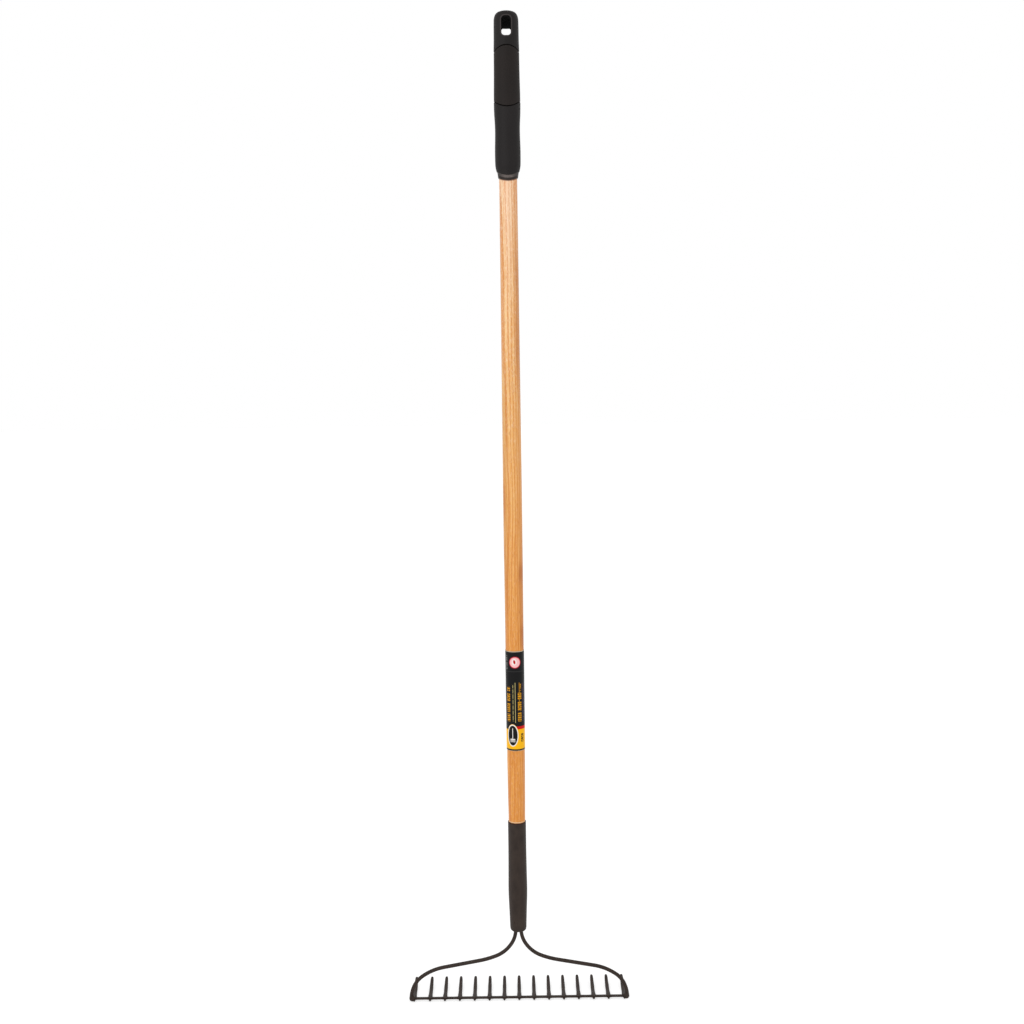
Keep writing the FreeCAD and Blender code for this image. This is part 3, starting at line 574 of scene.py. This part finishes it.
def label_print():
    p = Print("label_print")
    grain = p.noise((800, 800, 800), detail=2)
    p.colour = p.mix(p.span(grain, 0.35, 0.65), INK, (0.0030, 0.0030, 0.0034))
    for draw in (lower_panel, rake_sign, upper_panel, roundel, back_panel, film_edges):
        draw(p)
    wave = p.noise((140, 140, 60))
    rough = p.span(grain, 0.3, 0.7, 0.30, 0.40)
    return p.finish(p.colour, rough, p.bump(wave, 0.0004, 0.5), Coat_Weight=0.05, Coat_Roughness=0.15,
                    Specular_IOR_Level=0.12)


# ---------------------------------------------------------------- mesh helpers
def piece(name, bm, material):
    """Makes the bmesh an object with its normals turned out, and says which finish it takes."""
    bmesh.ops.recalc_face_normals(bm, faces=bm.faces)
    mesh = bpy.data.meshes.new(name)
    bm.to_mesh(mesh)
    bm.free()
    mesh.materials.append(material)
    for polygon in mesh.polygons:
        polygon.use_smooth = True
    made = bpy.data.objects.new(name, mesh)
    bpy.context.collection.objects.link(made)
    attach(made, "root")
    return made


def polar(radius, angle, z):
    """The point at this angle round the shaft's axis, counted from the front, in metres."""
    return radius * math.sin(angle) * MM, -radius * math.cos(angle) * MM, z * MM


def skin_rows(bm, rows, close=False):
    """Joins rows of vertices, each a closed ring, with quads."""
    pairs = list(zip(rows, rows[1:]))
    if close:
        pairs.append((rows[-1], rows[0]))
    for low, high in pairs:
        n = len(low)
        for j in range(n):
            k = (j + 1) % n
            bm.faces.new((low[j], low[k], high[k], high[j]))


def smooth_line(points, step):
    """A smooth line through the points (Catmull-Rom), sampled about every step."""
    pts = [np.array(p, float) for p in points]
    pts = [2 * pts[0] - pts[1]] + pts + [2 * pts[-1] - pts[-2]]
    out = []
    for i in range(1, len(pts) - 2):
        p0, p1, p2, p3 = pts[i - 1:i + 3]
        count = max(1, int(round(np.linalg.norm(p2 - p1) / step)))
        for k in range(count):
            t = k / count
            out.append(0.5 * (2 * p1 + (p2 - p0) * t + (2 * p0 - 5 * p1 + 4 * p2 - p3) * t ** 2
                              + (3 * p1 - p0 - 3 * p2 + p3) * t ** 3))
    out.append(pts[-2])
    return out


# ---------------------------------------------------------------- the grip's shape
# Outer contour of the grip as (radius, height above the slot centre), from the hem to the dome
GRIP = [
    (17.6, -231.3), (17.8, -224.3), (18.15, -221.3), (18.7, -218.7), (19.4, -215.7), (19.9, -211.8),
    (20.15, -205.3), (20.25, -195.3), (20.15, -184.3), (19.8, -172.3), (19.6, -160.3), (19.7, -150.3),
    (20.1, -141.3), (20.55, -133.3), (20.85, -123.3), (20.9, -111.3), (20.8, -98.3), (20.5, -82.3),
    (20.25, -63.3), (20.1, -45.3), (20.0, -32.3), (19.7, -21.3), (19.55, -7.3), (19.4, 7.7),
    (19.05, 14.2), (18.0, 18.3), (16.0, 21.5), (13.0, 23.6), (8.5, 24.9), (4.0, 25.3),
]
CONTOUR = smooth_line(GRIP, 0.5)
WALL_Z = [p[1] for p in CONTOUR]
WALL_R = [p[0] for p in CONTOUR]
HEM, LOW_GROOVE, HIGH_GROOVE = -228.3, -122.0, -29.9    # heights of the curves' apexes
GAP = 1.3                # width of a groove
GROOVE_R = 17.5          # radius of a groove's floor
BORE_R = 17.2            # radius of the sleeve's bore
BORE_TOP = -214          # the bore ends here, above the liner's ring and below the slot
LEVEL_FROM = -17.6       # from here up, the sleeve's rings are level
DOME_FROM = 14.0
DOME_TOP = 25.42
COLUMNS = 168
RING_STEP, DOME_STEP = 1.15, 0.75    # from one ring to the next on the long wall, and at the top
PLAIN_FROM = 0.9         # from a groove's edge to the first plain ring
SEAM, HEM_SEAM = 0.16, 0.10    # how proud the parting line stands at the sides
# How an edge of the sleeve turns in, as (inset, distance back from the edge)
HEM_ROLL = ((0.65, 0.12), (0.30, 0.30), (0.08, 0.65), (0.0, 1.1))
GROOVE_ROLL = ((0.06, 0.45), (0.28, 0.14), (0.62, 0.0), (1.7, 0.0))
BAND_ROLL = ((1.9, 0.0), (0.75, 0.0), (0.36, 0.14), (0.10, 0.42), (0.0, 0.9))


def wall(z):
    """Outer radius of the grip at this height."""
    return float(np.interp(z, WALL_Z, WALL_R))


def depth(x, z):
    """How far the grip's wall lies in front of or behind the axis, at this x and height."""
    return math.sqrt(max(wall(z) ** 2 - x * x, 1.0))


def sag(radius, angle):
    """How far a curved groove or hem has left its apex at this angle round the grip."""
    reach = min(abs(radius * math.sin(angle)), ARC - 0.01)
    return ARC - math.sqrt(ARC * ARC - reach * reach)


def ring(bm, z0, bend, inset=0.0, radius=None, seam=0.0):
    """One ring of the grip. bend 1 follows a hem or low groove, -1 a high groove and 0 is level."""
    row = []
    for j in range(COLUMNS):
        angle = 2 * math.pi * j / COLUMNS
        z = z0 + bend * sag(radius or wall(z0), angle)
        r = (radius or wall(z)) - inset
        if seam and j in (COLUMNS // 4, 3 * COLUMNS // 4):
            r += seam
        row.append(bm.verts.new(polar(r, angle, z)))
    return row


# ---------------------------------------------------------------- the slot's mouths and tunnel
# The rolled rim, from the wall inwards, as (distance outside the outline, how proud of the wall)
RIM = [
    (2.8, 0.0), (2.3, 0.12), (1.9, 0.42), (1.45, 0.66),
    (0.95, 0.60), (0.55, 0.24), (0.22, -0.40), (0.05, -1.2),
]
CUT_MARGIN = 0.25        # the skin is cut this far outside the rim
REACH_X, REACH_Z = 14, 24    # a mouth and its rim lie within this of its middle


def nearest(x, z, middle, half, corner):
    """Nearest point on a mouth's outline and the outward direction there, and the distance outside it."""
    qx = max(-(SLOT_W - corner), min(SLOT_W - corner, x))
    qz = max(middle - (half - corner), min(middle + (half - corner), z))
    dx, dz = x - qx, z - qz
    away = math.hypot(dx, dz)
    if away < 1e-6:
        return None, -corner
    nx, nz = dx / away, dz / away
    return (qx + nx * corner, qz + nz * corner, nx, nz), away - corner


def by_mouth(at, side, middle):
    return at.y * side > 0 and abs(at.x) < REACH_X and abs(at.z - middle) < REACH_Z


def open_mouth(bm, side, middle, half, corner):
    """Cuts the skin open on the front (-1) or back (1). Returns the cut edge's vertices in order."""
    gone = []
    for face in bm.faces:
        centre = face.calc_center_median() / MM
        if by_mouth(centre, side, middle):
            if nearest(centre.x, centre.z, middle, half, corner)[1] < RIM[0][0] + CUT_MARGIN:
                gone.append(face)
    bmesh.ops.delete(bm, geom=gone, context="FACES")
    loose = [v for v in bm.verts if not v.link_faces]
    bmesh.ops.delete(bm, geom=loose, context="VERTS")
    follow = {}
    for edge in bm.edges:
        a, b = edge.verts
        if edge.is_boundary and by_mouth((a.co + b.co) / 2 / MM, side, middle):
            follow.setdefault(a, []).append(b)
            follow.setdefault(b, []).append(a)
    start = next(iter(follow))
    loop = [start, follow[start][0]]
    while True:
        after = [v for v in follow[loop[-1]] if v is not loop[-2]][0]
        if after is start:
            return loop
        loop.append(after)


def cut_mouth(bm, side, middle, half, corner):
    """Opens a mouth and rolls a rim into it. Returns the rim's inner loop and its points' outline."""
    loop = open_mouth(bm, side, middle, half, corner)
    outline = [nearest(v.co.x / MM, v.co.z / MM, middle, half, corner)[0] for v in loop]
    rows = []
    for grow, proud in RIM:
        row = []
        for vert, (ox, oz, nx, nz) in zip(loop, outline):
            px, pz = ox + nx * grow, oz + nz * grow
            at = Vector((px * MM, side * (depth(px, pz) + proud) * MM, pz * MM))
            # the first row is the cut edge itself, moved to where the rim starts
            if rows:
                row.append(bm.verts.new(at))
            else:
                vert.co = at
                row.append(vert)
        rows.append(row)
    skin_rows(bm, rows)
    return rows[-1], outline


TUNNEL_STEPS = 12
KNEE = 2.0               # how much of the ceiling's corner keeps its height as it slopes down
FRONT_IN, BACK_IN = 1.2, 2.6    # how far inside the wall the tunnel starts and ends


def tunnel(bm, front, outline):
    """The front outline carried back under the sloping ceiling. Returns the rows of vertices."""
    rows = [front]
    for k in range(1, TUNNEL_STEPS + 1):
        t = k / TUNNEL_STEPS
        knee = SLOT_H + (BACK_TOP - SLOT_H) * t - KNEE
        row = []
        for ox, oz, nx, nz in outline:
            pz = oz if oz < knee else knee + KNEE * (oz - knee) / (SLOT_H - knee)
            y0 = FRONT_IN - depth(ox, oz)
            y1 = depth(ox, pz) - BACK_IN
            row.append(bm.verts.new((ox * MM, (y0 + (y1 - y0) * t) * MM, pz * MM)))
        rows.append(row)
    return rows


def loop_edges(bm, row):
    return [bm.edges.get((row[i], row[(i + 1) % len(row)])) for i in range(len(row))]


# ---------------------------------------------------------------- the grip's pieces
def sleeve_rows(bm):
    """The sleeve's rings: down the bore, round the hem, up past the band's groove and over the dome."""
    rows = [ring(bm, BORE_TOP, 0, radius=BORE_R), ring(bm, HEM + 1.6, 1, radius=BORE_R)]
    for inset, up in HEM_ROLL:
        rows.append(ring(bm, HEM + up, 1, inset=inset, seam=HEM_SEAM))
    low, high = LOW_GROOVE - GAP, HIGH_GROOVE + GAP
    start, stop = HEM + 1.9, low - PLAIN_FROM
    count = int((stop - start) / RING_STEP)
    for k in range(count + 1):
        rows.append(ring(bm, start + (stop - start) * k / count, 1, seam=SEAM))
    for inset, back in GROOVE_ROLL:
        rows.append(ring(bm, low - back, 1, inset=inset))
    rows.append(ring(bm, low, 1, radius=GROOVE_R))
    rows.append(ring(bm, high, -1, radius=GROOVE_R))
    for inset, up in reversed(GROOVE_ROLL):
        rows.append(ring(bm, high + up, -1, inset=inset))
    # the bend dies out over the first rings above the groove
    start = high + PLAIN_FROM
    count = 14
    for k in range(count + 1):
        t = k / count
        rows.append(ring(bm, start + (LEVEL_FROM - start) * t, -(1 - t) ** 1.3, seam=SEAM))
    z = LEVEL_FROM + DOME_STEP
    while z < DOME_FROM:
        rows.append(ring(bm, z, 0, seam=SEAM))
        z += DOME_STEP
    # the dome's curve starts a little below its first ring, and its last point is left to the hub
    dome = [(wall(13.4), 13.4)] + [p for p in GRIP if p[1] > DOME_FROM] + [(0.6, DOME_TOP)]
    angles = [2 * math.pi * j / COLUMNS for j in range(COLUMNS)]
    for r, height in smooth_line(dome, DOME_STEP):
        if height > z - 0.2 and r > 0.7:
            rows.append([bm.verts.new(polar(r, angle, height)) for angle in angles])
    return rows


def build_sleeve(material):
    bm = bmesh.new()
    rows = sleeve_rows(bm)
    skin_rows(bm, rows)
    for end, at in ((rows[0], BORE_TOP), (rows[-1], DOME_TOP)):
        hub = bm.verts.new((0, 0, at * MM))
        for j in range(COLUMNS):
            bm.faces.new((end[j], end[(j + 1) % COLUMNS], hub))
    front, outline = cut_mouth(bm, -1, *FRONT_MOUTH)
    back, _ = cut_mouth(bm, 1, *BACK_MOUTH)
    rows = tunnel(bm, front, outline)
    skin_rows(bm, rows)
    bmesh.ops.bridge_loops(bm, edges=loop_edges(bm, rows[-1]) + loop_edges(bm, back))
    made = piece("grip_sleeve_moulding", bm, material)
    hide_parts("grip_sleeve")
    return made


def build_band(material):
    """The inset band: an outside skin with rolled edges, closed by a hidden inside."""
    bm = bmesh.new()
    tall = HIGH_GROOVE - LOW_GROOVE
    count = 76
    low_t, high_t = 1.9 / tall, 1 - 1.9 / tall
    steps = [(inset, up / tall) for inset, up in BAND_ROLL]
    steps += [(0.0, low_t + (high_t - low_t) * k / count) for k in range(count + 1)]
    steps += [(inset, 1 - up / tall) for inset, up in reversed(BAND_ROLL)]
    rows = []
    for inset, t in steps:
        row = []
        for j in range(COLUMNS):
            angle = 2 * math.pi * j / COLUMNS
            lower = LOW_GROOVE + sag(wall(LOW_GROOVE), angle)
            upper = HIGH_GROOVE - sag(wall(HIGH_GROOVE), angle)
            z = lower + (upper - lower) * t
            row.append(bm.verts.new(polar(wall(z) - inset, angle, z)))
        rows.append(row)
    skin_rows(bm, rows, close=True)
    made = piece("grip_band_inlay", bm, material)
    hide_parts("grip_band")
    return made


# ---------------------------------------------------------------- label
LABEL_FOOT, LABEL_FLARE = 15.43, 0.25    # radius at the lower edge, and how much more it is at the top
FILM = 0.30                              # thickness
RIPPLE = 0.035
LABEL_ROWS, LABEL_COLUMNS = 40, 144
LAP, LAP_COLUMNS = 0.10, 9               # how proud the lapped strip down the back is, and how wide
EDGE_DROP = 0.10                         # how much the film's edges are pressed in


def build_label(material):
    """A wrapped film: a thin tube with one lapped edge down the back and faint ripples."""
    bm = bmesh.new()
    low, high = LABEL_BOX[0][2] / MM, LABEL_BOX[1][2] / MM
    rows_out, rows_in = [], []
    for k in range(LABEL_ROWS + 1):
        t = k / LABEL_ROWS
        z = low + (high - low) * t
        base = LABEL_FOOT + LABEL_FLARE * t
        outer, inner = [], []
        for j in range(LABEL_COLUMNS):
            angle = 2 * math.pi * j / LABEL_COLUMNS
            ripple = RIPPLE * math.sin(5 * angle + 9 * t) * math.sin(23 * t + 2 * angle)
            lap = LAP if 0 <= (j - LABEL_COLUMNS // 2) < LAP_COLUMNS else 0.0
            drop = EDGE_DROP if k in (0, LABEL_ROWS) else 0.0
            outer.append(bm.verts.new(polar(base + ripple + lap - drop, angle, z)))
            inner.append(bm.verts.new(polar(base - FILM, angle, z)))
        rows_out.append(outer)
        rows_in.append(inner)
    skin_rows(bm, rows_out + rows_in[::-1], close=True)
    made = piece("label_film", bm, material)
    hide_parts("label")
    return made


# ---------------------------------------------------------------- welds
BAR_DEPTH, BAR_HEIGHT = 2.0, 1.5         # half sizes of the head bar's section
BEAD_AROUND, BEAD_ACROSS = 30, 8
BEAD_OFF = 0.15                          # from the tine's side to the middle of the bead


def weld_ring(bm, x, level, rng):
    """A lumpy bead round the bar where it enters one side of a tine."""
    rows = []
    for i in range(BEAD_AROUND):
        a = 2 * math.pi * i / BEAD_AROUND
        # a rounded rectangle a touch larger than the bar, from a superellipse
        c, s = math.cos(a), math.sin(a)
        py = (BAR_DEPTH + 0.05) * math.copysign(abs(c) ** 0.45, c)
        pz = (BAR_HEIGHT + 0.05) * math.copysign(abs(s) ** 0.45, s)
        thick = 0.50 + 0.10 * math.sin(9 * a + rng.random() * 0.5) + rng.random() * 0.09
        row = []
        for j in range(BEAD_ACROSS):
            b = 2 * math.pi * j / BEAD_ACROSS
            out = thick * math.cos(b)
            along = thick * 1.5 * math.sin(b)
            row.append(bm.verts.new((
                (x + along) * MM,
                (py + out * c) * MM,
                (level + pz + out * s) * MM,
            )))
        rows.append(row)
    skin_rows(bm, rows, close=True)


def build_welds(material):
    """One piece to a tine, with a bead on each side where the bar runs on to a neighbour."""
    rng = np.random.default_rng(7)
    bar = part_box("head_bar")
    level = (bar[0][2] + bar[1][2]) / 2 / MM
    for name in TINES:
        low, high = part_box(name)
        bm = bmesh.new()
        for side, face, last in ((-1, low[0], TINES[0]), (1, high[0], TINES[-1])):
            if name != last:
                weld_ring(bm, face / MM + side * BEAD_OFF, level, rng)
        piece("weld_" + name, bm, material)


# ---------------------------------------------------------------- assembly of looks
STEEL = dark_steel("coated_steel")
WELD = dark_steel("coated_steel_weld", relief=1.6)
SLEEVE = rubber("grip_soft_black", dark=(0.0055, 0.0044, 0.0043), pale=(0.0100, 0.0082, 0.0080),
                grain=1500, depth=0.00016, rough=(0.50, 0.60))
BAND = rubber("grip_band_pebbled", dark=(0.0065, 0.0045, 0.0038), pale=(0.0120, 0.0086, 0.0075),
              grain=900, depth=0.00034, rough=(0.56, 0.66))

# Nodes that aren't named here are steel
finishes = {
    "handle_shaft": ash_wood(),
    "grip_core": grey_plastic(),
    "grip_sleeve": SLEEVE,
    "grip_band": BAND,
}
for name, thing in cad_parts.items():
    for socket in thing.material_slots:
        socket.material = finishes.get(name, STEEL)

build_sleeve(SLEEVE)
build_band(BAND)
build_label(label_print())
build_welds(WELD)


# ---------------------------------------------------------------- studio
FLOOR_SIZE = 40          # in metres
FLOOR_GAP = 0.0002       # between the lowest point of the rake and the floor, in metres
# Square lamps as (name, place, aim, size in metres, power in watts)
LAMPS = [
    ("key", (-1.9, -2.2, 0.35), (0, 0, -0.75), 1.6, 20),
    ("fill", (2.4, -2.4, 0.2), (0, 0, -0.9), 1.8, 8),
    ("head", (-0.5, -1.5, -0.1), (0, 0, -1.55), 0.9, 3),
]


def build_floor():
    bpy.ops.mesh.primitive_plane_add(size=FLOOR_SIZE, location=(0, 0, cad_box[0][2] - FLOOR_GAP))
    floor = bpy.context.object
    floor.name = "studio_floor"
    floor.data.materials.append(floor_paper())


def build_lights():
    world = bpy.data.worlds.new("studio")
    bpy.context.scene.world = world
    world.use_nodes = True
    world.node_tree.nodes["Background"].inputs[0].default_value = (1, 1, 1, 1)
    world.node_tree.nodes["Background"].inputs[1].default_value = 1.0
    for name, place, aim, size, power in LAMPS:
        data = bpy.data.lights.new(name, "AREA")
        data.shape = "SQUARE"
        data.size = size
        data.energy = power
        lamp = bpy.data.objects.new(name, data)
        bpy.context.collection.objects.link(lamp)
        lamp.location = place
        lamp.rotation_mode = "QUATERNION"
        lamp.rotation_quaternion = (Vector(aim) - Vector(place)).to_track_quat("-Z", "Y")
    bpy.context.scene.view_settings.view_transform = "Standard"


build_floor()
build_lights()
